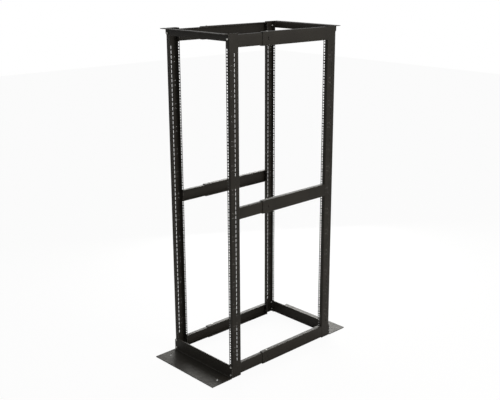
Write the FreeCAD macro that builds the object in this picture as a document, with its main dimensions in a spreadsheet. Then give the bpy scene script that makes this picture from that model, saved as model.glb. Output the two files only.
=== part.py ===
import FreeCAD, Part
import Sketcher
import os
import sys

# Four post open frame rack for 19 inch equipment, in millimetres.
# Frame: X to the right, Y from front to rear, Z up, origin on the floor under the middle of the rack.
# Two halves: the front half carries the smaller rail sections, the rear half the larger ones,
# and the rear half slides along Y over the front one to set the depth.

doc = FreeCAD.newDocument("four_post_rack")

# ---------------------------------------------------------------------------------------------
# Driving dimensions
# ---------------------------------------------------------------------------------------------
SIZES = [
    ("overall_width", 501.65, "outer face of the left posts to outer face of the right posts"),
    ("overall_depth", 790.0, "front face of the front posts to rear face of the rear posts"),
    ("post_length", 1866.9, "cut length of a post"),
    ("post_foot_gap", 2.0, "lower end of a post above the floor"),
    ("post_web", 63.5, "outside width of a post's web, front to rear"),
    ("post_flange", 25.4, "outside width of a post's outer flange, side to side"),
    ("inner_flange_more", 7.6, "how much wider a post's inner flange is than its outer one"),
    ("post_sheet", 2.66, "12 gauge sheet of the posts"),
    ("bend_inside", 1.6, "inside radius of every bend in the posts and rails, made as a flat corner"),
    ("unit_pitch", 44.45, "height of one rack unit"),
    ("wide_step", 15.875, "pitch of the three holes inside one rack unit"),
    ("square_hole", 9.5, "side of a square cage nut hole"),
    ("hole_from_tip", 7.125, "hole line to the flange tip"),
    ("first_hole_drop", 79.1, "top of the post to its first square hole"),
    ("foot_margin", 60.0, "least length of post kept clear of unit holes at the foot"),
    ("slot_pitch", 25.5, "pitch of the slots down the web"),
    ("slot_length", 19.05, "slot length along the post"),
    ("slot_width", 6.35, "slot width across the post"),
    ("slot_line", 28.2, "one edge of the web to the middle of its slots"),
    ("slot_margin", 100.0, "least distance from a post's end to the middle of a slot"),
    ("top_leg", 38.1, "both legs of a top angle"),
    ("top_sheet", 3.2, "plate of a top angle"),
    ("top_corner", 10.0, "corner cut of a top angle's hanging leg"),
    ("base_leg", 76.2, "standing leg of a base angle"),
    ("base_foot", 146.05, "foot of a base angle, from the posts outwards"),
    ("base_sheet", 4.76, "plate of a base angle"),
    ("base_corner", 12.0, "corner cut of a base angle's standing leg"),
    ("foot_corner", 3.0, "corner cut of a base angle's foot"),
    ("angle_inside", 3.2, "inside radius of an angle's bend"),
    ("anchor_inset", 44.45, "end of the base angle to its anchor hole"),
    ("anchor_out", 73.0, "posts' face to the anchor holes"),
    ("anchor_bore", 14.3, "anchor hole diameter"),
    ("rail_height", 71.5, "outside height of the larger rail section"),
    ("rail_flange", 25.4, "outside width of the larger rail section"),
    ("rail_sheet", 2.66, "12 gauge sheet of the rails"),
    ("rail_clearance", 1.34, "gap above and below the smaller section inside the larger one"),
    ("rail_side_clearance", 0.54, "gap between the two sections' webs"),
    ("rail_end_gap", 3.25, "end of a post to the nearest edge of the larger rail section"),
    ("rail_step", 167.5, "rear of the front post to the front end of the larger section"),
    ("inner_rail_length", 495.0, "length of the smaller rail section"),
    ("rail_slot_inset", 39.0, "front end of the larger section to the middle of its clamp slot"),
]

sheet = doc.addObject("Spreadsheet::Sheet", "Sizes")
for number, (alias, value, note) in enumerate(SIZES, start=1):
    sheet.set("A%d" % number, alias)
    sheet.set("B%d" % number, str(value))
    sheet.set("C%d" % number, note)
    sheet.setAlias("B%d" % number, alias)
doc.recompute()


def size(alias):
    """The present value of one driving dimension."""
    return float(getattr(sheet, alias))


# ---------------------------------------------------------------------------------------------
# Sketches and features
# ---------------------------------------------------------------------------------------------
def new_sketch(body, name, role, offset=None):
    """An empty sketch on one of the body's own planes, moved along the plane's normal by offset."""
    sketch = body.newObject("Sketcher::SketchObject", name)
    plane = [f for f in body.Origin.OriginFeatures if f.Role == role][0]
    sketch.AttachmentSupport = [(plane, "")]
    sketch.MapMode = "FlatFace"
    if offset:
        sketch.setExpression("AttachmentOffset.Base.z", offset)
    return sketch


def bind(sketch, constraint, name, expression):
    """Add a named constraint and drive it from the sheet."""
    index = sketch.addConstraint(constraint)
    sketch.renameConstraint(index, name)
    sketch.setExpression("Constraints." + name, expression)


def add_rectangle(sketch, tag, left, bottom, width, height):
    """A rectangle in the sketch's first quadrant. left or bottom of None sits on that axis."""
    first = sketch.GeometryCount
    corners = [(1, 1), (9, 1), (9, 9), (1, 9)]
    points = [FreeCAD.Vector(x, y, 0) for x, y in corners]
    for i in range(4):
        sketch.addGeometry(Part.LineSegment(points[i], points[(i + 1) % 4]), False)
    for i in range(4):
        sketch.addConstraint(Sketcher.Constraint("Coincident", first + i, 2, first + (i + 1) % 4, 1))
    sketch.addConstraint(Sketcher.Constraint("Horizontal", first))
    sketch.addConstraint(Sketcher.Constraint("Horizontal", first + 2))
    sketch.addConstraint(Sketcher.Constraint("Vertical", first + 1))
    sketch.addConstraint(Sketcher.Constraint("Vertical", first + 3))
    bind(sketch, Sketcher.Constraint("DistanceX", first, 1, first, 2, 8.0), tag + "_width", width)
    bind(sketch, Sketcher.Constraint("DistanceY", first + 1, 1, first + 1, 2, 8.0), tag + "_height", height)
    if left is None:
        sketch.addConstraint(Sketcher.Constraint("PointOnObject", first, 1, -2))
    else:
        bind(sketch, Sketcher.Constraint("DistanceX", -1, 1, first, 1, 1.0), tag + "_left", left)
    if bottom is None:
        sketch.addConstraint(Sketcher.Constraint("PointOnObject", first, 1, -1))
    else:
        bind(sketch, Sketcher.Constraint("DistanceY", -1, 1, first, 1, 1.0), tag + "_bottom", bottom)


def add_circle(sketch, tag, across, up, diameter):
    """A circle by its centre and diameter."""
    circle = Part.Circle(FreeCAD.Vector(5, 5, 0), FreeCAD.Vector(0, 0, 1), 3.0)
    index = sketch.addGeometry(circle, False)
    bind(sketch, Sketcher.Constraint("Diameter", index, 6.0), tag + "_bore", diameter)
    bind(sketch, Sketcher.Constraint("DistanceX", -1, 1, index, 3, 5.0), tag + "_across", across)
    bind(sketch, Sketcher.Constraint("DistanceY", -1, 1, index, 3, 5.0), tag + "_up", up)


def pad(body, name, sketch, length, reverse=False):
    feature = body.newObject("PartDesign::Pad", name)
    feature.Profile = sketch
    feature.Reversed = reverse
    feature.setExpression("Length", length)
    doc.recompute()
    return feature


def pocket(body, name, sketch, length, reverse=False):
    """A pocket that must take something off the body."""
    before = body.Shape.Volume
    feature = body.newObject("PartDesign::Pocket", name)
    feature.Profile = sketch
    feature.Reversed = reverse
    feature.setExpression("Length", length)
    doc.recompute()
    if not body.Shape.Volume < before:
        sys.exit(body.Label + "." + name + " cuts nothing")
    return feature


def row_of(body, name, feature, sketch, axis, span, count):
    """Repeat a feature in a straight row along one of its sketch's axes."""
    row = body.newObject("PartDesign::LinearPattern", name)
    row.Originals = [feature]
    row.Direction = (sketch, [axis])
    row.setExpression("Length", span)
    row.setExpression("Occurrences", count)
    body.Tip = row
    doc.recompute()
    return row


def edges_along(body, axis, length, places):
    """Names of the body's straight edges of one length along an axis, through the given places."""
    names = []
    for number, edge in enumerate(body.Shape.Edges, start=1):
        start = edge.Vertexes[0].Point
        end = edge.Vertexes[-1].Point
        run = end - start
        if abs(abs(run.dot(axis)) - length) > 0.01:
            continue
        for place in places:
            gap = start - place
            gap = gap - axis * gap.dot(axis)
            if gap.Length < 0.01:
                names.append("Edge%d" % number)
    return names


def round_edges(body, name, names, radius):
    """Fillet edges of the body's present tip."""
    if len(names) == 0:
        sys.exit(body.Label + "." + name + " finds no edge")
    base = body.Tip
    feature = body.newObject("PartDesign::Fillet", name)
    feature.Base = (base, names)
    feature.setExpression("Radius", radius)
    doc.recompute()
    return feature


def cut_corners(body, name, names, amount):
    """Chamfer edges of the body's present tip."""
    if len(names) == 0:
        sys.exit(body.Label + "." + name + " finds no edge")
    base = body.Tip
    feature = body.newObject("PartDesign::Chamfer", name)
    feature.Base = (base, names)
    feature.setExpression("Size", amount)
    doc.recompute()
    return feature


def place(body, x, y, z, axis=None, angle=0.0):
    """Put a body in the rack by expressions, turned by a fixed angle about one axis."""
    if axis:
        body.Placement = FreeCAD.Placement(FreeCAD.Vector(), FreeCAD.Rotation(axis, angle))
    body.setExpression("Placement.Base.x", x)
    body.setExpression("Placement.Base.y", y)
    body.setExpression("Placement.Base.z", z)


def new_body(label):
    body = doc.addObject("PartDesign::Body", label)
    body.Label = label
    return body


X_AXIS = FreeCAD.Vector(1, 0, 0)
Y_AXIS = FreeCAD.Vector(0, 1, 0)
Z_AXIS = FreeCAD.Vector(0, 0, 1)


# ---------------------------------------------------------------------------------------------
# Channels: posts and rails
# ---------------------------------------------------------------------------------------------
# Rack units that fit between the first square hole and the clear length at the foot.
UNITS = ("floor((Sizes.post_length - Sizes.first_hole_drop - Sizes.unit_pitch + 2 * Sizes.wide_step"
         " - Sizes.foot_margin) / Sizes.unit_pitch)")
# The short step from the last hole of one unit to the first hole of the next.
SHORT_STEP = "(Sizes.unit_pitch - 2 * Sizes.wide_step)"
# Slots that fit the web with the same length of plain post at both ends.
SLOTS = "(floor((Sizes.post_length - 2 * Sizes.slot_margin) / Sizes.slot_pitch) + 1)"


def make_post(label, mounting_side):
    """A folded channel post. Local frame: web on the YZ plane, flanges along +X, foot at Z = 0.
    mounting_side, near (Y = 0) or far, is the outer flange, which is the shorter one."""
    body = new_body(label)
    far = mounting_side == "far"
    inner_flange = "(Sizes.post_flange + Sizes.inner_flange_more)"

    outline = new_sketch(body, "Outline", "XY_Plane")
    add_rectangle(outline, "outline", None, None, inner_flange, "Sizes.post_web")
    pad(body, "Blank", outline, "Sizes.post_length")

    hollow = new_sketch(body, "Hollow", "XY_Plane")
    add_rectangle(hollow, "hollow", "Sizes.post_sheet", "Sizes.post_sheet",
                  inner_flange, "Sizes.post_web - 2 * Sizes.post_sheet")
    pocket(body, "Channel", hollow, "Sizes.post_length", reverse=True)

    trim = new_sketch(body, "Trim", "XY_Plane")
    add_rectangle(trim, "trim", "Sizes.post_flange", "Sizes.post_web / 2" if far else None,
                  "Sizes.inner_flange_more", "Sizes.post_web / 2")
    pocket(body, "OuterFlangeTrim", trim, "Sizes.post_length", reverse=True)

    web = size("post_web")
    wall = size("post_sheet")
    length = size("post_length")
    inner = [FreeCAD.Vector(wall, wall, 0), FreeCAD.Vector(wall, web - wall, 0)]
    outer = [FreeCAD.Vector(0, 0, 0), FreeCAD.Vector(0, web, 0)]
    cut_corners(body, "InnerBends", edges_along(body, Z_AXIS, length, inner), "Sizes.bend_inside")
    round_edges(body, "OuterBends", edges_along(body, Z_AXIS, length, outer),
                "Sizes.bend_inside + Sizes.post_sheet")

    # Square holes in threes, one group for each rack unit, cut from outside the outer flange.
    face = "-Sizes.post_web" if far else None
    hole_left = "Sizes.post_flange - Sizes.hole_from_tip - Sizes.square_hole / 2"
    lowest = ("Sizes.post_length - Sizes.first_hole_drop - " + SHORT_STEP + " - 2 * Sizes.wide_step"
              " - (" + UNITS + " - 1) * Sizes.unit_pitch - Sizes.square_hole / 2")
    unit = new_sketch(body, "UnitHoles", "XZ_Plane", face)
    for number in range(3):
        up = lowest + " + %d * Sizes.wide_step" % number
        add_rectangle(unit, "hole%d" % number, hole_left, up, "Sizes.square_hole", "Sizes.square_hole")
    unit_cut = pocket(body, "UnitCut", unit, "2 * Sizes.post_sheet", reverse=far)
    row_of(body, "Units", unit_cut, unit, "V_Axis",
           "(" + UNITS + " - 1) * Sizes.unit_pitch", UNITS)

    # One hole more above the first unit and one below the last.
    ends = new_sketch(body, "EndHoles", "XZ_Plane", face)
    top_hole = "Sizes.post_length - Sizes.first_hole_drop - Sizes.square_hole / 2"
    low_hole = lowest + " - " + SHORT_STEP
    add_rectangle(ends, "top", hole_left, top_hole, "Sizes.square_hole", "Sizes.square_hole")
    add_rectangle(ends, "low", hole_left, low_hole, "Sizes.square_hole", "Sizes.square_hole")
    pocket(body, "EndCut", ends, "2 * Sizes.post_sheet", reverse=far)

    # Slots down the web, a little off its middle.
    slot = new_sketch(body, "WebSlot", "YZ_Plane")
    add_rectangle(slot, "slot", "Sizes.slot_line - Sizes.slot_width / 2",
                  "(Sizes.post_length - (" + SLOTS + " - 1) * Sizes.slot_pitch - Sizes.slot_length) / 2",
                  "Sizes.slot_width", "Sizes.slot_length")
    slot_cut = pocket(body, "SlotCut", slot, "2 * Sizes.post_sheet", reverse=True)
    row_of(body, "Slots", slot_cut, slot, "V_Axis",
           "(" + SLOTS + " - 1) * Sizes.slot_pitch", SLOTS)
    return body


def make_rail(label, height, flange, length, tab_at, slotted):
    """A channel section of a side rail. Local frame: web on the YZ plane, flanges along +X,
    length along +Y. The tab at one end, near or far, is the ear that bolts to the post.
    A slotted section has one upright slot through its web near its start, for the clamp screw."""
    body = new_body(label)
    outline = new_sketch(body, "Outline", "XZ_Plane")
    add_rectangle(outline, "outline", None, None, flange, height)
    pad(body, "Blank", outline, length, reverse=True)

    start = "-Sizes.rail_sheet" if tab_at == "near" else None
    hollow = new_sketch(body, "Hollow", "XZ_Plane", start)
    add_rectangle(hollow, "hollow", "Sizes.rail_sheet", "Sizes.rail_sheet",
                  flange, height + " - 2 * Sizes.rail_sheet")
    pocket(body, "Channel", hollow, length + " - Sizes.rail_sheet")

    box = body.Shape.BoundBox
    wall = size("rail_sheet")
    inner = [FreeCAD.Vector(wall, 0, wall), FreeCAD.Vector(wall, 0, box.ZMax - wall)]
    outer = [FreeCAD.Vector(0, 0, 0), FreeCAD.Vector(0, 0, box.ZMax)]
    cut_corners(body, "InnerBends", edges_along(body, Y_AXIS, box.YMax - wall, inner),
                "Sizes.bend_inside")
    round_edges(body, "OuterBends", edges_along(body, Y_AXIS, box.YMax, outer),
                "Sizes.bend_inside + Sizes.rail_sheet")

    if slotted:
        slot = new_sketch(body, "ClampSlot", "YZ_Plane")
        add_rectangle(slot, "slot", "Sizes.rail_slot_inset - Sizes.slot_width / 2",
                      "(" + height + " - Sizes.slot_length) / 2",
                      "Sizes.slot_width", "Sizes.slot_length")
        pocket(body, "ClampSlotCut", slot, "2 * Sizes.rail_sheet", reverse=True)
    return body


# ---------------------------------------------------------------------------------------------
# Angles: top and base
# ---------------------------------------------------------------------------------------------
def make_angle(label, out, up, wall, flat_on_top):
    """An angle as long as the rack is wide. Local frame: length along X, the foot points to -Y from
    the standing leg, whose back face meets the posts at Y = out. The foot is at the bottom, or at the
    top where flat_on_top is set."""
    body = new_body(label)
    outline = new_sketch(body, "Outline", "YZ_Plane")
    add_rectangle(outline, "outline", None, None, out, up)
    pad(body, "Blank", outline, "Sizes.overall_width")
    bottom = None if flat_on_top else wall
    inside = new_sketch(body, "Inside", "YZ_Plane")
    add_rectangle(inside, "inside", None, bottom, out + " - " + wall, up + " - " + wall)
    pocket(body, "Legs", inside, "Sizes.overall_width", reverse=True)

    box = body.Shape.BoundBox
    thick = size(wall.split(".")[1])
    corner_up = box.ZMax if flat_on_top else 0.0
    inner_up = box.ZMax - thick if flat_on_top else thick
    inner = [FreeCAD.Vector(0, box.YMax - thick, inner_up)]
    outer = [FreeCAD.Vector(0, box.YMax, corner_up)]
    round_edges(body, "InnerBend", edges_along(body, X_AXIS, box.XMax, inner), "Sizes.angle_inside")
    round_edges(body, "OuterBend", edges_along(body, X_AXIS, box.XMax, outer),
                "Sizes.angle_inside + " + wall)
    return body


def make_top_angle(label):
    body = make_angle(label, "Sizes.top_leg", "Sizes.top_leg", "Sizes.top_sheet", True)
    box = body.Shape.BoundBox
    low = [FreeCAD.Vector(0, 0, 0), FreeCAD.Vector(box.XMax, 0, 0)]
    cut_corners(body, "Corners", edges_along(body, Y_AXIS, size("top_sheet"), low), "Sizes.top_corner")
    return body


def make_base_angle(label):
    body = make_angle(label, "Sizes.base_foot", "Sizes.base_leg", "Sizes.base_sheet", False)
    box = body.Shape.BoundBox
    wall = size("base_sheet")
    high = [FreeCAD.Vector(0, 0, box.ZMax), FreeCAD.Vector(box.XMax, 0, box.ZMax)]
    toe = [FreeCAD.Vector(0, 0, 0), FreeCAD.Vector(box.XMax, 0, 0)]
    cut_corners(body, "LegCorners", edges_along(body, Y_AXIS, wall, high), "Sizes.base_corner")
    cut_corners(body, "FootCorners", edges_along(body, Z_AXIS, wall, toe), "Sizes.foot_corner")
    anchors = new_sketch(body, "Anchors", "XY_Plane")
    out = "Sizes.base_foot - Sizes.anchor_out"
    add_circle(anchors, "left", "Sizes.anchor_inset", out, "Sizes.anchor_bore")
    add_circle(anchors, "right", "Sizes.overall_width - Sizes.anchor_inset", out, "Sizes.anchor_bore")
    pocket(body, "AnchorHoles", anchors, "2 * Sizes.base_sheet", reverse=True)
    return body


# ---------------------------------------------------------------------------------------------
# Assembly
# ---------------------------------------------------------------------------------------------
LEFT = "-Sizes.overall_width / 2"
RIGHT = "Sizes.overall_width / 2"
FRONT = "-Sizes.overall_depth / 2"
REAR = "Sizes.overall_depth / 2"
FOOT = "Sizes.post_foot_gap"
TOP = "(Sizes.post_foot_gap + Sizes.post_length)"

pieces = []

# Posts. The right hand ones are the left hand ones turned half round about the vertical.
post = make_post("front_left_post", "near")
place(post, LEFT, FRONT, FOOT)
pieces.append(post)
post = make_post("front_right_post", "far")
place(post, RIGHT, FRONT + " + Sizes.post_web", FOOT, Z_AXIS, 180)
pieces.append(post)
post = make_post("rear_left_post", "far")
place(post, LEFT, REAR + " - Sizes.post_web", FOOT)
pieces.append(post)
post = make_post("rear_right_post", "near")
place(post, RIGHT, REAR, FOOT, Z_AXIS, 180)
pieces.append(post)

# Top angles, level with the tops of the posts and bolted on outside their flanges.
angle = make_top_angle("front_top_angle")
place(angle, LEFT, FRONT + " - Sizes.top_leg", TOP + " - Sizes.top_leg")
pieces.append(angle)
angle = make_top_angle("rear_top_angle")
place(angle, RIGHT, REAR + " + Sizes.top_leg", TOP + " - Sizes.top_leg", Z_AXIS, 180)
pieces.append(angle)

# Base angles, flat on the floor.
angle = make_base_angle("front_base_angle")
place(angle, LEFT, FRONT + " - Sizes.base_foot", "0")
pieces.append(angle)
angle = make_base_angle("rear_base_angle")
place(angle, RIGHT, REAR + " + Sizes.base_foot", "0", Z_AXIS, 180)
pieces.append(angle)

# Side rails at three levels: (level, height of the middle of the rail).
LOW_RAIL = "(" + FOOT + " + Sizes.rail_end_gap + Sizes.rail_height / 2)"
HIGH_RAIL = "(" + TOP + " - Sizes.rail_end_gap - Sizes.rail_height / 2)"
LEVELS = [
    ("bottom", LOW_RAIL),
    ("middle", "(" + LOW_RAIL + " + " + HIGH_RAIL + ") / 2"),
    ("top", HIGH_RAIL),
]
# The smaller section's height and width leave the named gaps inside the larger one.
SMALL_HEIGHT = "(Sizes.rail_height - 2 * Sizes.rail_sheet - 2 * Sizes.rail_clearance)"
SMALL_FLANGE = "(Sizes.rail_flange - Sizes.rail_sheet - Sizes.rail_side_clearance)"
INSET = "(Sizes.rail_sheet + Sizes.rail_side_clearance)"
LARGE_LENGTH = "(Sizes.overall_depth - 2 * Sizes.post_web - Sizes.rail_step)"

for level, middle in LEVELS:
    for side in ("left", "right"):
        name = side + "_" + level + "_rail_"
        small = make_rail(name + "front", SMALL_HEIGHT, SMALL_FLANGE, "Sizes.inner_rail_length",
                          "near", slotted=False)
        large = make_rail(name + "rear", "Sizes.rail_height", "Sizes.rail_flange", LARGE_LENGTH,
                          "far", slotted=True)
        small_start = FRONT + " + Sizes.post_web"
        large_start = small_start + " + Sizes.rail_step"
        if side == "left":
            place(small, LEFT + " + " + INSET, small_start, middle + " - " + SMALL_HEIGHT + " / 2")
            place(large, LEFT, large_start, middle + " - Sizes.rail_height / 2")
        else:
            # The same section turned half round about its own length.
            place(small, RIGHT + " - " + INSET, small_start, middle + " + " + SMALL_HEIGHT + " / 2",
                  Y_AXIS, 180)
            place(large, RIGHT, large_start, middle + " + Sizes.rail_height / 2", Y_AXIS, 180)
        pieces.append(small)
        pieces.append(large)

doc.recompute()

# ---------------------------------------------------------------------------------------------
# Checks and export
# ---------------------------------------------------------------------------------------------
for item in doc.Objects:
    if "Invalid" in item.State or "Error" in item.State:
        sys.exit("failed object: " + item.Label)

for piece in pieces:
    shape = piece.Shape
    if shape.isNull() or not shape.isValid() or len(shape.Solids) != 1:
        sys.exit("bad shape: " + piece.Label)

os.makedirs("parts", exist_ok=True)
for piece in pieces:
    piece.Shape.exportStep("parts/" + piece.Label + ".step")
    print(piece.Label, round(piece.Shape.Volume / 1000.0, 2), "cm3")
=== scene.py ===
import math
import bpy
import numpy as np
from mathutils import Matrix, Vector


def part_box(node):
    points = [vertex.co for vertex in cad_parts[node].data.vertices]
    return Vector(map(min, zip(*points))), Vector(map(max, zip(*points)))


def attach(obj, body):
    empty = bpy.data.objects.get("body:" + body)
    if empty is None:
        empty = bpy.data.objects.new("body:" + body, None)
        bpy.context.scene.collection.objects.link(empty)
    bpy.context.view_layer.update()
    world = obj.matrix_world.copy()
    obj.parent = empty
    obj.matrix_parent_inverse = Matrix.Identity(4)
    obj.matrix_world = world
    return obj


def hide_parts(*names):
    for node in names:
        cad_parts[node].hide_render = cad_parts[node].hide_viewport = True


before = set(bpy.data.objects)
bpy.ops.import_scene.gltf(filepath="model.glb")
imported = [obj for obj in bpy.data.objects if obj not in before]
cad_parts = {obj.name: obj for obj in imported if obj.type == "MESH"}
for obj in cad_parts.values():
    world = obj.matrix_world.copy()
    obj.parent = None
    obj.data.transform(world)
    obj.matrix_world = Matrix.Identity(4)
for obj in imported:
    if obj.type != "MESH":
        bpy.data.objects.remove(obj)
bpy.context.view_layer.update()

# ---------------------------------------------------------------------------------------------
# Posts. Four channels of 12 gauge steel sheet. Both flanges are punched flat with square cage nut
# holes in threes, the web with a column of slots and pairs of small dots. The sheet is then
# folded twice and powder coated. Two of the four have a wider inner flange than outer flange.
# ---------------------------------------------------------------------------------------------
MM = 0.001

POST_WEB = 63.5 * MM
OUTER_FLANGE = 25.4 * MM
WIDE_INNER_FLANGE = 33.0 * MM
POST_SHEET = 2.66 * MM
FOLD_OUTSIDE = 4.26 * MM
QUARTER = math.pi / 2
ARC = QUARTER * FOLD_OUTSIDE
LINES_IN_A_FOLD = 7
SHARP_ANGLE = 35

UNIT = 44.45 * MM
UNIT_COUNT = 38
WIDE_STEP = 15.875 * MM
SHORT_STEP = UNIT - 2 * WIDE_STEP
SQUARE = 9.5 * MM
HOLE_FROM_TIP = 7.125 * MM
FIRST_HOLE_DROP = 79.1 * MM

SLOT_COUNT = 66
SLOT_PITCH = 25.5 * MM
SLOT_LENGTH = 19.05 * MM
SLOT_WIDTH = 4.5 * MM
SLOT_LINE = 28.2 * MM
DOT = 3.8 * MM
DOT_LINE = 50.8 * MM
DOT_EVERY = 5

# Coat wears within this distance of a cut edge, and grid lines at it keep the rest unworn.
EDGE_BAND = 1.2 * MM
CLOSE = 0.002 * MM
# A bore whose radius is over this gets more points round it, at the tangent of 22.5 degrees.
WIDE_BORE = 5 * MM
EIGHTH_TANGENT = 0.4142


def folded(width_lines, folds, radius, start, heading):
    """Where the width of a flat pattern lies once folded. The heading turns clockwise by a quarter
    over a quarter circle of width at each fold. A step is as long as its width times
    sin(half its turn) / (half its turn), and the places are the running sum of the steps.
    Gives the places, the headings and the outward normals, a quarter turn left of the headings."""
    turned = np.clip((width_lines[:, None] - np.asarray(folds)[None, :]) / (radius * QUARTER), 0, 1)
    angle = heading - QUARTER * turned.sum(axis=1)
    middle = (angle[1:] + angle[:-1]) / 2
    step = np.diff(width_lines) * np.sinc(np.diff(angle) / (2 * math.pi))
    walk = np.stack([step * np.cos(middle), step * np.sin(middle)], axis=1)
    places = np.vstack([[start], np.asarray(start) + np.cumsum(walk, axis=0)])
    ahead_of = np.stack([np.cos(angle), np.sin(angle)], axis=1)
    return places, ahead_of, np.stack([-np.sin(angle), np.cos(angle)], axis=1)


def lines_for(total, extra, holes, folds, radius, across):
    """Grid lines over one direction of a flat pattern: the two ends with a band inside each, the
    lines asked for, the arcs of the folds in seven lines each, and the edges, centres and rounded
    ends of the holes. A line closer than two microns to the one before it is left out."""
    lines = [np.array([0.0, EDGE_BAND, total - EDGE_BAND, total]), np.asarray(extra, float)]
    for fold in folds:
        lines.append(fold + radius * QUARTER * np.linspace(0, 1, LINES_IN_A_FOLD))
    for where, along, half_wide, half_long, round_ends in holes:
        centres = np.atleast_1d(where if across else along)
        half = half_wide if across else half_long
        offsets = [-half, half]
        if round_ends:
            flat = half - half_wide
            offsets += [0.0] if across else [-flat, flat]
            if half_wide > WIDE_BORE:
                offsets += [-flat - EIGHTH_TANGENT * half_wide, flat + EIGHTH_TANGENT * half_wide]
        lines.append((centres[:, None] + np.array(offsets)[None, :]).ravel())
    lines = np.unique(np.round(np.concatenate(lines), 7))
    return lines[np.concatenate([[True], np.diff(lines) > CLOSE])]


def sheet_part(wide, long, holes, folds, radius, wall, start, heading, spare=(), spare_long=(),
               corner=None):
    """A punched and folded sheet as one closed shell. The flat pattern is a grid of width lines and
    length lines. Cells inside a hole are left out, and the nodes on a rounded end are moved out
    from its centre onto its circle. The outer face is the folded grid, the inner face lies one
    wall inside it, and each cut edge gets a strip between the two.
    Gives points (across, up, along), four-sided faces and the distance to the nearest cut edge."""
    w = lines_for(wide, spare, holes, folds, radius, True)
    z = lines_for(long, spare_long, holes, (), radius, False)
    cell_w = (w[1:] + w[:-1]) / 2
    cell_z = (z[1:] + z[:-1]) / 2
    keep = np.ones((len(z) - 1, len(w) - 1), bool)
    W, Z = np.meshgrid(w, z)
    rim = np.minimum(np.minimum(W, wide - W), np.minimum(Z, long - Z))
    for where, along, half_wide, half_long, round_ends in holes:
        centres = np.atleast_1d(along)
        keep &= ~np.outer((abs(cell_z[:, None] - centres) < half_long).any(axis=1),
                          abs(cell_w - where) < half_wide)
        nearest = centres[abs(z[:, None] - centres).argmin(axis=1)]
        dx = W - where
        dz = Z - nearest[:, None]
        outside = np.hypot(np.maximum(abs(dx) - half_wide, 0), np.maximum(abs(dz) - half_long, 0))
        rim = np.minimum(rim, outside)
        if round_ends:
            beyond = np.maximum(abs(dz) - (half_long - half_wide), 0) * np.sign(dz)
            box = np.maximum(abs(dx) / half_wide, abs(beyond) / half_wide)
            moved = (abs(box - 1) < 1e-3) & (abs(beyond) > 1e-7) & (abs(dz) < half_long + 1e-7)
            factor = np.where(moved, half_wide / np.maximum(np.hypot(dx, beyond), 1e-9), 1.0)
            W = W + dx * (factor - 1)
            Z = Z + beyond * (factor - 1)
    if corner is not None:
        reach = 2 * corner
        short = np.maximum(corner - (wide - W), 0)
        for end in (0.0, long):
            off = abs(Z - end)
            drawn = np.where(off < reach, short * (1 - off / reach), 0.0)
            Z = Z + drawn * (1 if end == 0.0 else -1)

    places, headings, normals = folded(w, folds, radius, start, heading)
    slide = (W - w[None, :])[..., None]
    flat = places[None, :, :] + headings[None, :, :] * slide
    outer = np.dstack([flat, Z])
    inner = np.dstack([flat - normals[None, :, :] * wall, Z])
    points = np.concatenate([outer.reshape(-1, 3), inner.reshape(-1, 3)])

    rows, columns = Z.shape
    o = np.arange(rows * columns).reshape(rows, columns)
    i = o + rows * columns
    faces = [np.stack([o[:-1, :-1], o[1:, :-1], o[1:, 1:], o[:-1, 1:]], -1)[keep],
             np.stack([i[:-1, :-1], i[:-1, 1:], i[1:, 1:], i[1:, :-1]], -1)[keep]]
    ring = np.pad(keep, 1)
    left, right = ring[1:-1, :-1], ring[1:-1, 1:]
    side = np.stack([o[:-1], o[1:], i[1:], i[:-1]], -1)
    faces += [side[left & ~right], side[right & ~left][:, ::-1]]
    below, above = ring[:-1, 1:-1], ring[1:, 1:-1]
    side = np.stack([o[:, :-1], i[:, :-1], i[:, 1:], o[:, 1:]], -1)
    faces += [side[below & ~above], side[above & ~below][:, ::-1]]
    return points, np.concatenate(faces), np.tile(rim.ravel(), 2)


def moved_to(part, origin, across, up, along):
    """A part's points taken from its own frame to the rack's: origin + x across + y up + z along.
    Its faces are turned round where that frame is left handed."""
    points, faces, rim = part
    axes = np.array([across, up, along], float)
    if np.linalg.det(axes) < 0:
        faces = faces[:, ::-1]
    return points @ axes + np.asarray(origin, float), faces, rim


def outer_corner(low, high, side, end):
    """A box's bottom corner on the given side (-1 left, 1 right) and end (-1 front, 1 rear)."""
    return (low[0] if side < 0 else high[0], low[1] if end < 0 else high[1], low[2])


def as_object(name, parts, materials, body, nodes=(), smooth=SHARP_ANGLE, finish=None):
    """One mesh object from a list of parts, with points that no face uses left out, the distance to
    the nearest cut edge kept as an attribute, and edges sharper than the given angle kept sharp.
    The finish of a part is the number of its material."""
    points, faces, rims, numbers, base = [], [], [], [], 0
    for number, (p, f, r) in enumerate(parts):
        points.append(p)
        faces.append(f + base)
        rims.append(r)
        numbers.append(np.full(len(f), finish[number] if finish else 0))
        base += len(p)
    points, faces, rims = np.vstack(points), np.vstack(faces), np.concatenate(rims)
    used, renumbered = np.unique(faces, return_inverse=True)
    points, rims, faces = points[used], rims[used], renumbered.reshape(faces.shape)
    mesh = bpy.data.meshes.new(name)
    mesh.from_pydata(points.tolist(), [], faces.tolist())
    attribute = mesh.attributes.new("rim", "FLOAT", "POINT")
    attribute.data.foreach_set("value", rims.astype(np.float32))
    for material in materials:
        mesh.materials.append(material)
    mesh.polygons.foreach_set("material_index", np.concatenate(numbers).astype(np.int32))
    mesh.shade_smooth()
    mesh.set_sharp_from_angle(angle=math.radians(smooth))
    mesh.update()
    piece = bpy.data.objects.new(name, mesh)
    bpy.context.scene.collection.objects.link(piece)
    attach(piece, body)
    if nodes:
        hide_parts(*nodes)
    return piece


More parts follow.
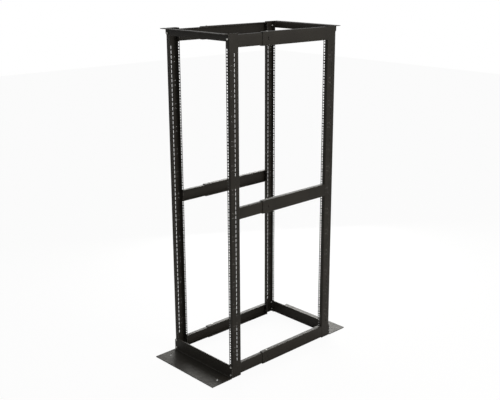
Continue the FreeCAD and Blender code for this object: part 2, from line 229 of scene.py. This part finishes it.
CLOUD_SCALE, CLOUD_DARK, CLOUD_PALE = 9.0, 0.88, 1.14
WORN_WITHIN, BARE_WITHIN = 0.0011, 0.0002
WORN_PATCHES = 160.0
WORN_COLOUR = (0.085, 0.080, 0.074, 1)
WORN_SHINE = -0.16
GLOSS_SCALE, GLOSS_LOW, GLOSS_HIGH = 45.0, 0.46, 0.56
COAT_SPECULAR = 0.16
PEBBLE_SCALE, PEBBLE_HEIGHT = 1300.0, 0.00002


def powder_coat(name, colour, peel):
    """Black powder coat: a warm near black with slow cloudy differences, a satin gloss that varies
    over a few centimetres, a fine pebbled skin under a millimetre across, and a thinner, slightly
    shinier and paler coat in broken patches along cut edges."""
    material = bpy.data.materials.new(name)
    material.use_nodes = True
    nodes, links = material.node_tree.nodes, material.node_tree.links
    shader = nodes["Principled BSDF"]
    place = nodes.new("ShaderNodeTexCoord")

    def noise(scale, detail):
        node = nodes.new("ShaderNodeTexNoise")
        node.inputs["Scale"].default_value = scale
        node.inputs["Detail"].default_value = detail
        links.new(place.outputs["Object"], node.inputs["Vector"])
        return node.outputs["Fac"]

    def spread(value, low, high, to_low, to_high):
        node = nodes.new("ShaderNodeMapRange")
        for socket, number in zip(("From Min", "From Max", "To Min", "To Max"),
                                  (low, high, to_low, to_high)):
            node.inputs[socket].default_value = number
        links.new(value, node.inputs["Value"])
        return node.outputs["Result"]

    cloud = nodes.new("ShaderNodeMix")
    cloud.data_type = "RGBA"
    cloud.inputs["A"].default_value = (*[c * CLOUD_DARK for c in colour], 1)
    cloud.inputs["B"].default_value = (*[c * CLOUD_PALE for c in colour], 1)
    links.new(spread(noise(CLOUD_SCALE, 3.0), 0.35, 0.65, 0.0, 1.0), cloud.inputs["Factor"])

    edge = nodes.new("ShaderNodeAttribute")
    edge.attribute_name = "rim"
    near = spread(edge.outputs["Fac"], WORN_WITHIN, BARE_WITHIN, 0.0, 1.0)
    patches = spread(noise(WORN_PATCHES, 4.0), 0.46, 0.62, 0.0, 1.0)
    thin = nodes.new("ShaderNodeMath")
    thin.operation = "MULTIPLY"
    links.new(near, thin.inputs[0])
    links.new(patches, thin.inputs[1])
    worn = nodes.new("ShaderNodeMix")
    worn.data_type = "RGBA"
    worn.inputs["B"].default_value = WORN_COLOUR
    links.new(thin.outputs["Value"], worn.inputs["Factor"])
    links.new(cloud.outputs["Result"], worn.inputs["A"])
    links.new(worn.outputs["Result"], shader.inputs["Base Color"])

    gloss = nodes.new("ShaderNodeMath")
    gloss.operation = "MULTIPLY_ADD"
    gloss.inputs[1].default_value = WORN_SHINE
    links.new(thin.outputs["Value"], gloss.inputs[0])
    links.new(spread(noise(GLOSS_SCALE, 4.0), 0.3, 0.7, GLOSS_LOW, GLOSS_HIGH), gloss.inputs[2])
    links.new(gloss.outputs["Value"], shader.inputs["Roughness"])
    shader.inputs["Specular IOR Level"].default_value = COAT_SPECULAR

    bump = nodes.new("ShaderNodeBump")
    bump.inputs["Strength"].default_value = peel
    bump.inputs["Distance"].default_value = PEBBLE_HEIGHT
    links.new(noise(PEBBLE_SCALE, 2.0), bump.inputs["Height"])
    links.new(bump.outputs["Normal"], shader.inputs["Normal"])
    return material


black_coat = powder_coat("black_powder_coat", (0.0155, 0.0136, 0.0105), 0.3)

post_folds = (OUTER_FLANGE - FOLD_OUTSIDE, OUTER_FLANGE + ARC + POST_WEB - 3 * FOLD_OUTSIDE)
# From a place across the web to its place on the flat pattern.
WEB_START = OUTER_FLANGE - 2 * FOLD_OUTSIDE + ARC

post_low, post_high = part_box("front_left_post")
post_length = post_high[2] - post_low[2]
first = post_length - FIRST_HOLE_DROP
in_threes = (first - SHORT_STEP - UNIT * np.arange(UNIT_COUNT)[:, None]
             - WIDE_STEP * np.arange(3)[None, :]).ravel()
square_rows = np.concatenate([[first], in_threes, [in_threes[-1] - SHORT_STEP]])
slot_rows = post_length / 2 + SLOT_PITCH * (np.arange(SLOT_COUNT) - (SLOT_COUNT - 1) / 2)
dot_rows = np.sort(np.concatenate([slot_rows[2::DOT_EVERY], slot_rows[3::DOT_EVERY]]))

for node, side, end, body in (("front_left_post", -1, -1, "front_frame"),
                              ("front_right_post", 1, -1, "front_frame"),
                              ("rear_left_post", -1, 1, "rear_frame"),
                              ("rear_right_post", 1, 1, "rear_frame")):
    low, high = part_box(node)
    same_way = side * end > 0
    inner_flange = WIDE_INNER_FLANGE if same_way else OUTER_FLANGE
    post_width = (OUTER_FLANGE + POST_WEB + inner_flange) - 4 * FOLD_OUTSIDE + 2 * ARC
    slot_across = SLOT_LINE if same_way else POST_WEB - SLOT_LINE
    dot_across = DOT_LINE if same_way else POST_WEB - DOT_LINE
    punched = [
        (HOLE_FROM_TIP, square_rows, SQUARE / 2, SQUARE / 2, False),
        (post_width - HOLE_FROM_TIP, square_rows, SQUARE / 2, SQUARE / 2, False),
        (WEB_START + slot_across, slot_rows, SLOT_WIDTH / 2, SLOT_LENGTH / 2, True),
        (WEB_START + dot_across, dot_rows, DOT / 2, DOT / 2, True),
    ]
    part = sheet_part(post_width, post_length, punched, post_folds, FOLD_OUTSIDE, POST_SHEET,
                      (OUTER_FLANGE, 0.0), math.pi)
    part = moved_to(part, outer_corner(low, high, side, end), (-side, 0, 0), (0, -end, 0),
                    (0, 0, 1))
    as_object("post_" + node.replace("_post", ""), [part], [black_coat], body, (node,))

# ---------------------------------------------------------------------------------------------
# Top angles. Two light angles of 3.2 mm plate that tie the posts at the top: one leg hangs in
# front of the posts' flanges with its lower corners cut off, the other lies level and points
# outwards. One bolt holds each end.
# ---------------------------------------------------------------------------------------------
TOP_SHEET = 3.2 * MM
TOP_FOLD = 6.4 * MM
TOP_CORNER = 10.0 * MM

for node, end, body in (("front_top_angle", -1, "front_frame"),
                        ("rear_top_angle", 1, "rear_frame")):
    low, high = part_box(node)
    leg = high[2] - low[2]
    out = high[1] - low[1]
    wide = out + leg - 2 * TOP_FOLD + TOP_FOLD * QUARTER
    along = high[0] - low[0]
    near_ends = np.array([0.5, 1.0, 2.0]) * TOP_CORNER
    part = sheet_part(wide, along, [], (out - TOP_FOLD,), TOP_FOLD, TOP_SHEET, (0.0, leg), 0.0,
                      spare=wide - near_ends[:2], corner=TOP_CORNER,
                      spare_long=np.concatenate([near_ends, along - near_ends]))
    part = moved_to(part, outer_corner(low, high, end, end), (0, -end, 0), (0, 0, 1),
                    (-end, 0, 0))
    as_object("angle_top_" + ("front" if end < 0 else "rear"), [part], [black_coat], body, (node,))

# ---------------------------------------------------------------------------------------------
# Base angles. Two angles of 4.8 mm plate that the rack stands on: a wide foot with a round anchor
# hole near each end, and a standing leg, its top corners cut off, bolted to the posts' flanges.
# ---------------------------------------------------------------------------------------------
BASE_SHEET = 4.76 * MM
BASE_FOLD = 7.96 * MM
BASE_CORNER = 12.0 * MM
ANCHOR_INSET = 44.45 * MM
ANCHOR_OUT = 73.0 * MM
ANCHOR_BORE = 14.3 * MM

for node, end, body in (("front_base_angle", -1, "front_frame"),
                        ("rear_base_angle", 1, "rear_frame")):
    low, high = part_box(node)
    leg = high[2] - low[2]
    out = high[1] - low[1]
    along = high[0] - low[0]
    wide = out + leg - 2 * BASE_FOLD + BASE_FOLD * QUARTER
    anchors = (out - ANCHOR_OUT, np.array([ANCHOR_INSET, along - ANCHOR_INSET]), ANCHOR_BORE / 2,
               ANCHOR_BORE / 2, True)
    near_ends = np.array([0.5, 1.0, 2.0]) * BASE_CORNER
    round_bore = (ANCHOR_BORE / 2 + EDGE_BAND) * np.array([-1.0, 1.0])
    part = sheet_part(wide, along, [anchors], (out - BASE_FOLD,), BASE_FOLD, BASE_SHEET,
                      (0.0, 0.0), 0.0, corner=BASE_CORNER,
                      spare=np.concatenate([wide - near_ends[:2], out - ANCHOR_OUT + round_bore]),
                      spare_long=np.concatenate([near_ends, along - near_ends,
                                                 ANCHOR_INSET + round_bore,
                                                 along - ANCHOR_INSET + round_bore]))
    # The fold turns the leg upwards, so the part's own up axis points down.
    part = moved_to(part, outer_corner(low, high, end, end), (0, -end, 0), (0, 0, -1),
                    (-end, 0, 0))
    as_object("angle_base_" + ("front" if end < 0 else "rear"), [part], [black_coat], body, (node,))

# ---------------------------------------------------------------------------------------------
# Bolts. Zinc plated hexagon bolts with washers hold the base angles, two to a post, and the top
# angles, one to a post. Their nuts sit inside the posts, with a few turns of thread beyond them.
# ---------------------------------------------------------------------------------------------
RING = 24
WASHER = 6.5 * MM
HALF_FLATS = 5.0 * MM
SUNK = 0.2 * MM
CORNERS_OFF = 0.93
BOLT_SHARP_ANGLE = 30
PLAIN_WASHER = [(WASHER - 0.3 * MM, -SUNK, 0), (WASHER, 0.1 * MM, 0), (WASHER, 1.1 * MM, 0),
                (WASHER - 0.3 * MM, 1.4 * MM, 0)]
HEAD = [(HALF_FLATS, 1.2 * MM, 1), (HALF_FLATS, 4.7 * MM, 1),
        (CORNERS_OFF * HALF_FLATS, 5.5 * MM, 0)]
NUT = [(CORNERS_OFF * HALF_FLATS, -SUNK, 0), (HALF_FLATS, 0.8 * MM, 1), (HALF_FLATS, 4.4 * MM, 1),
       (CORNERS_OFF * HALF_FLATS, 5.2 * MM, 0), (3.3 * MM, 5.2 * MM, 0)]
THREAD_ROOT = 2.7 * MM
THREAD_CREST = 3.2 * MM
THREAD_PITCH = 1.27 * MM
THREAD_STICKS_OUT = 4.0 * MM
THREAD_RINGS = 6
POINT_RISE = 0.6 * MM
POINT_IN = 0.4 * MM


def turned(profile, centre, axis, thread=False):
    """A fastener as rings round an axis. A ring has a radius, a height and a share of hexagon: its
    points lie at radius times (1 - share + share / cos(angle from the middle of the nearest
    flat)). A thread adds rings a sixth of a turn's rise apart, whose radius falls and rises
    between crest and root as height / pitch less the part of a turn goes from one whole number
    to the next. The two ends are closed by strips of four-sided faces."""
    angle = np.arange(RING) * 2 * math.pi / RING
    from_flat = np.mod(angle + math.pi / 6, math.pi / 3) - math.pi / 6
    radius, height, share = (np.array(column)[:, None] for column in zip(*profile))
    radii = radius * (1 - share + share / np.cos(from_flat)[None, :])
    heights = np.repeat(height, RING, axis=1)
    if thread:
        climb = np.arange(0, THREAD_STICKS_OUT, THREAD_PITCH / THREAD_RINGS)
        rise = profile[-1][1] + climb[:, None]
        turn = np.mod(rise / THREAD_PITCH - angle[None, :] / (2 * math.pi), 1)
        root = THREAD_ROOT + (THREAD_CREST - THREAD_ROOT) * abs(2 * turn - 1)
        tip = np.full((1, RING), rise[-1, 0] + POINT_RISE)
        radii = np.vstack([radii, root, np.full((1, RING), THREAD_ROOT - POINT_IN)])
        heights = np.vstack([heights, np.repeat(rise, RING, axis=1), tip])
    axis = np.asarray(axis, float)
    first = np.array([1.0, 0, 0])
    second = np.cross(axis, first)
    round_it = np.cos(angle)[:, None] * first + np.sin(angle)[:, None] * second
    points = (np.asarray(centre, float) + radii[..., None] * round_it[None]
              + heights[..., None] * axis)
    count = len(radii)
    n = np.arange(count * RING).reshape(count, RING)
    ahead = np.roll(n, -1, axis=1)
    sides = np.stack([n[:-1], ahead[:-1], ahead[1:], n[1:]], -1).reshape(-1, 4)
    k = np.arange(RING // 2 - 1)
    strip = np.stack([k, k + 1, RING - 2 - k, RING - 1 - k], -1)
    faces = np.concatenate([sides, strip[:, ::-1], strip + (count - 1) * RING])
    return points.reshape(-1, 3), faces, np.full(count * RING, 1.0)


PLATING_SCALE, PLATING_DARK = 420.0, 0.8
SHINIER, DULLER = 0.08, 0.12


def zinc_plate(name, colour, roughness):
    """Zinc plating: a bluish grey metal, duller and brighter in patches a few millimetres wide."""
    material = bpy.data.materials.new(name)
    material.use_nodes = True
    nodes, links = material.node_tree.nodes, material.node_tree.links
    shader = nodes["Principled BSDF"]
    shader.inputs["Metallic"].default_value = 1.0
    place = nodes.new("ShaderNodeTexCoord")
    patches = nodes.new("ShaderNodeTexNoise")
    patches.inputs["Scale"].default_value = PLATING_SCALE
    patches.inputs["Detail"].default_value = 3.0
    links.new(place.outputs["Object"], patches.inputs["Vector"])
    tone = nodes.new("ShaderNodeMix")
    tone.data_type = "RGBA"
    tone.inputs["A"].default_value = (*[c * PLATING_DARK for c in colour], 1)
    tone.inputs["B"].default_value = (*colour, 1)
    links.new(patches.outputs["Fac"], tone.inputs["Factor"])
    links.new(tone.outputs["Result"], shader.inputs["Base Color"])
    dull = nodes.new("ShaderNodeMapRange")
    dull.inputs["To Min"].default_value = roughness - SHINIER
    dull.inputs["To Max"].default_value = roughness + DULLER
    links.new(patches.outputs["Fac"], dull.inputs["Value"])
    links.new(dull.outputs["Result"], shader.inputs["Roughness"])
    return material


bright_zinc = zinc_plate("bright_zinc_plate", (0.38, 0.38, 0.36), 0.42)
dark_zinc = zinc_plate("black_zinc_plate", (0.035, 0.033, 0.031), 0.42)

BASE_BOLT_HEIGHTS = (66.0 * MM, 20.5 * MM)
BOLT_LINE = 233.0 * MM
TIGHT_BOLT_LINE = 243.0 * MM
TOP_BOLT_HEIGHT = 1843.0 * MM
TAB_BOLT = [(6.6 * MM, -SUNK, 0), (6.9 * MM, 0.5 * MM, 0), (6.5 * MM, 1.6 * MM, 0),
            (5.4 * MM, 2.8 * MM, 0), (3.6 * MM, 3.5 * MM, 0), (3.5 * MM, 3.5 * MM, 0)]
CLAMP_SCREW = [(5.0 * MM, -SUNK, 0), (5.2 * MM, 0.4 * MM, 0), (5.1 * MM, 1.6 * MM, 0),
               (4.4 * MM, 2.5 * MM, 0), (3.0 * MM, 3.0 * MM, 0), (2.9 * MM, 3.0 * MM, 0)]

for end, name in ((-1, "front"), (1, "rear")):
    post_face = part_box(name + "_base_angle")[1 if end < 0 else 0][1]
    for joint, heights, plate in (("base", BASE_BOLT_HEIGHTS, BASE_SHEET),
                                  ("top", (TOP_BOLT_HEIGHT,), TOP_SHEET)):
        washers, heads, nuts = [], [], []
        for side in (-1, 1):
            across = (BOLT_LINE if side * end > 0 else TIGHT_BOLT_LINE) * side
            for height in heights:
                outer = (across, post_face + end * plate, height)
                inner = (across, post_face - end * POST_SHEET, height)
                washers.append(turned(PLAIN_WASHER, outer, (0, end, 0)))
                heads.append(turned(HEAD, outer, (0, end, 0)))
                nuts.append(turned(NUT, inner, (0, -end, 0), thread=True))
        nut_finish = 1 if end > 0 else 0
        finish = [0] * len(washers) + [1] * len(heads) + [nut_finish] * len(nuts)
        as_object("bolts_" + joint + "_" + name, washers + heads + nuts,
                  [dark_zinc, bright_zinc], name + "_frame", smooth=BOLT_SHARP_ANGLE,
                  finish=finish)

# ---------------------------------------------------------------------------------------------
# Side rails. Six pairs of channels, three on each side, of 12 gauge sheet. The smaller section
# slides inside the larger one to set the depth. Each is closed at its post by a tab that bolts to
# the post's inner flange. The larger one has an upright slot near its open end.
# ---------------------------------------------------------------------------------------------
RAIL_SHEET = 2.66 * MM
CLAMP_INSET = 39.0 * MM
CLAMP_LONG = 19.05 * MM
CLAMP_WIDE = 6.35 * MM
TAB_BOLT_RISE = 16.0 * MM
TAB_BOLT_IN = 14.5 * MM
CLAMP_SCREW_IN = 12.0 * MM
BOTH_WAYS = np.array([-1.0, 1.0])

tab_bolts = {"front_frame": [], "rear_frame": []}
clamp_screws = []

for level in ("bottom", "middle", "top"):
    for side_name, side in (("left", -1), ("right", 1)):
        for end_name, end, body in (("front", -1, "front_frame"), ("rear", 1, "rear_frame")):
            node = side_name + "_" + level + "_rail_" + end_name
            low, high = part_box(node)
            flange, reach, tall = high[0] - low[0], high[1] - low[1], high[2] - low[2]
            wide = 2 * (flange - FOLD_OUTSIDE) + 2 * ARC + tall - 2 * FOLD_OUTSIDE
            folds = (flange - FOLD_OUTSIDE, flange - 3 * FOLD_OUTSIDE + ARC + tall)
            # The clamp slot stands across the rail, so its long side runs over the pattern's width.
            slots = [(wide / 2, np.array([reach - CLAMP_INSET]), CLAMP_LONG / 2, CLAMP_WIDE / 2,
                      False)] if end > 0 else []
            into, outwards, upwards = (-side, 0, 0), (0, end, 0), (0, 0, 1)
            origin = outer_corner(low, high, side, end)
            across_slot = (CLAMP_LONG / 2 + EDGE_BAND) * BOTH_WAYS
            along_slot = (CLAMP_WIDE / 2 + EDGE_BAND) * BOTH_WAYS
            shell = sheet_part(wide, reach, slots, folds, FOLD_OUTSIDE, RAIL_SHEET, (flange, 0.0),
                               math.pi, spare=wide / 2 + across_slot,
                               spare_long=reach - CLAMP_INSET + along_slot)
            shell = moved_to(shell, origin, into, upwards, (0, -end, 0))
            tab = sheet_part(tall - 2 * RAIL_SHEET, flange - RAIL_SHEET, [], (), FOLD_OUTSIDE,
                             RAIL_SHEET, (0.0, 0.0), 0.0)
            tab_corner = (origin[0] - side * RAIL_SHEET, origin[1], origin[2] + RAIL_SHEET)
            tab = moved_to(tab, tab_corner, upwards, outwards, into)
            as_object("rail_" + side_name + "_" + level + "_" + end_name, [shell, tab],
                      [black_coat], body, (node,))
            for rise in (-TAB_BOLT_RISE, TAB_BOLT_RISE):
                centre = (origin[0] - side * TAB_BOLT_IN, origin[1] - end * RAIL_SHEET,
                          (low[2] + high[2]) / 2 + rise)
                tab_bolts[body].append(turned(TAB_BOLT, centre, (0, -end, 0)))
            if end > 0:
                centre = (origin[0] - side * CLAMP_SCREW_IN, low[1] + CLAMP_INSET, high[2])
                clamp_screws.append(turned(CLAMP_SCREW, centre, upwards))

for body, bolts in tab_bolts.items():
    as_object("tab_bolts_" + body.split("_")[0], bolts, [dark_zinc], body, smooth=BOLT_SHARP_ANGLE)
as_object("clamp_screws", clamp_screws, [bright_zinc], "rear_frame", smooth=BOLT_SHARP_ANGLE)

# ---------------------------------------------------------------------------------------------
# Studio: a pale floor, soft light from all round with a softbox to the right and one behind, and
# the camera a little above the rack's top, turned down to it from the right of its front.
# ---------------------------------------------------------------------------------------------
FLOOR = 12.0
FLOOR_LEVEL = -0.0004
FLOOR_PAINT = (0.9, 0.9, 0.9, 1)
FLOOR_ROUGHNESS = 0.9
FLOOR_GLOW = 0.94
WORLD_LIGHT = 0.4
floor_mesh = bpy.data.meshes.new("studio_floor")
floor_mesh.from_pydata([(-FLOOR, -FLOOR, FLOOR_LEVEL), (FLOOR, -FLOOR, FLOOR_LEVEL),
                        (FLOOR, FLOOR, FLOOR_LEVEL), (-FLOOR, FLOOR, FLOOR_LEVEL)],
                       [], [(0, 1, 2, 3)])
floor = bpy.data.objects.new("studio_floor", floor_mesh)
bpy.context.scene.collection.objects.link(floor)
paint = bpy.data.materials.new("studio_paint")
paint.use_nodes = True
nodes, links = paint.node_tree.nodes, paint.node_tree.links
matte = nodes["Principled BSDF"]
matte.inputs["Base Color"].default_value = FLOOR_PAINT
matte.inputs["Roughness"].default_value = FLOOR_ROUGHNESS
glow = nodes.new("ShaderNodeEmission")
path = nodes.new("ShaderNodeLightPath")
seen = nodes.new("ShaderNodeMath")
seen.operation = "MAXIMUM"
links.new(path.outputs["Is Camera Ray"], seen.inputs[0])
links.new(path.outputs["Is Transmission Ray"], seen.inputs[1])
share = nodes.new("ShaderNodeMath")
share.operation = "MULTIPLY"
share.inputs[1].default_value = FLOOR_GLOW
links.new(seen.outputs["Value"], share.inputs[0])
blend = nodes.new("ShaderNodeMixShader")
links.new(share.outputs["Value"], blend.inputs["Fac"])
links.new(matte.outputs["BSDF"], blend.inputs[1])
links.new(glow.outputs["Emission"], blend.inputs[2])
links.new(blend.outputs["Shader"], nodes["Material Output"].inputs["Surface"])
floor_mesh.materials.append(paint)

world = bpy.data.worlds.new("studio")
bpy.context.scene.world = world
world.use_nodes = True
nodes, links = world.node_tree.nodes, world.node_tree.links
background = nodes["Background"]
background.inputs["Color"].default_value = (1, 1, 1, 1)
path = nodes.new("ShaderNodeLightPath")
seen = nodes.new("ShaderNodeMath")
seen.operation = "ADD"
links.new(path.outputs["Is Camera Ray"], seen.inputs[0])
links.new(path.outputs["Is Glossy Ray"], seen.inputs[1])
also = nodes.new("ShaderNodeMath")
also.operation = "ADD"
also.use_clamp = True
links.new(seen.outputs["Value"], also.inputs[0])
links.new(path.outputs["Is Transmission Ray"], also.inputs[1])
level = nodes.new("ShaderNodeMapRange")
level.inputs["To Min"].default_value = WORLD_LIGHT
level.inputs["To Max"].default_value = 1.0
links.new(also.outputs["Value"], level.inputs["Value"])
links.new(level.outputs["Result"], background.inputs["Strength"])

for name, place, aim, wide, tall, power, tint in (
        ("softbox_right", (3.2, 0.8, 2.4), (0, 0, 0.9), 2.0, 2.0, 62.0, (1, 0.95, 0.88)),
        ("softbox_behind", (-1.3, 1.5, 1.0), (0.0, 0.6, 0.7), 1.7, 1.6, 62.0, (1, 0.99, 0.95))):
    lamp = bpy.data.lights.new(name, "AREA")
    lamp.shape = "RECTANGLE"
    lamp.size = wide
    lamp.size_y = tall
    lamp.energy = power
    lamp.color = tint
    box = bpy.data.objects.new(name, lamp)
    box.location = place
    box.rotation_euler = (Vector(aim) - Vector(place)).to_track_quat("-Z", "Y").to_euler()
    box.visible_camera = False
    bpy.context.scene.collection.objects.link(box)

EYE = Vector((3.2803, -3.0822, 2.2115))
TURN = -0.79169
DIP = 0.27907
ROLL = -0.00391
FOCAL_LENGTH, SENSOR_WIDTH = 58.842, 36.0
SHIFT_X, SHIFT_Y = -0.04548, -0.01001
FURTHEST_SEEN = 60.0
ahead = Vector((math.sin(TURN) * math.cos(DIP), math.cos(TURN) * math.cos(DIP), -math.sin(DIP)))
level_right = Vector((math.cos(TURN), -math.sin(TURN), 0.0))
level_up = level_right.cross(ahead)
right = level_right * math.cos(ROLL) - level_up * math.sin(ROLL)
up = level_right * math.sin(ROLL) + level_up * math.cos(ROLL)
lens = bpy.data.cameras.new("studio_camera")
lens.lens = FOCAL_LENGTH
lens.sensor_width = SENSOR_WIDTH
lens.shift_x = SHIFT_X
lens.shift_y = SHIFT_Y
lens.clip_end = FURTHEST_SEEN
camera = bpy.data.objects.new("studio_camera", lens)
camera.matrix_world = (Matrix.Translation(EYE)
                       @ Matrix((right, up, -ahead)).transposed().to_4x4())
bpy.context.scene.collection.objects.link(camera)
bpy.context.scene.camera = camera
bpy.context.scene.view_settings.view_transform = "Standard"
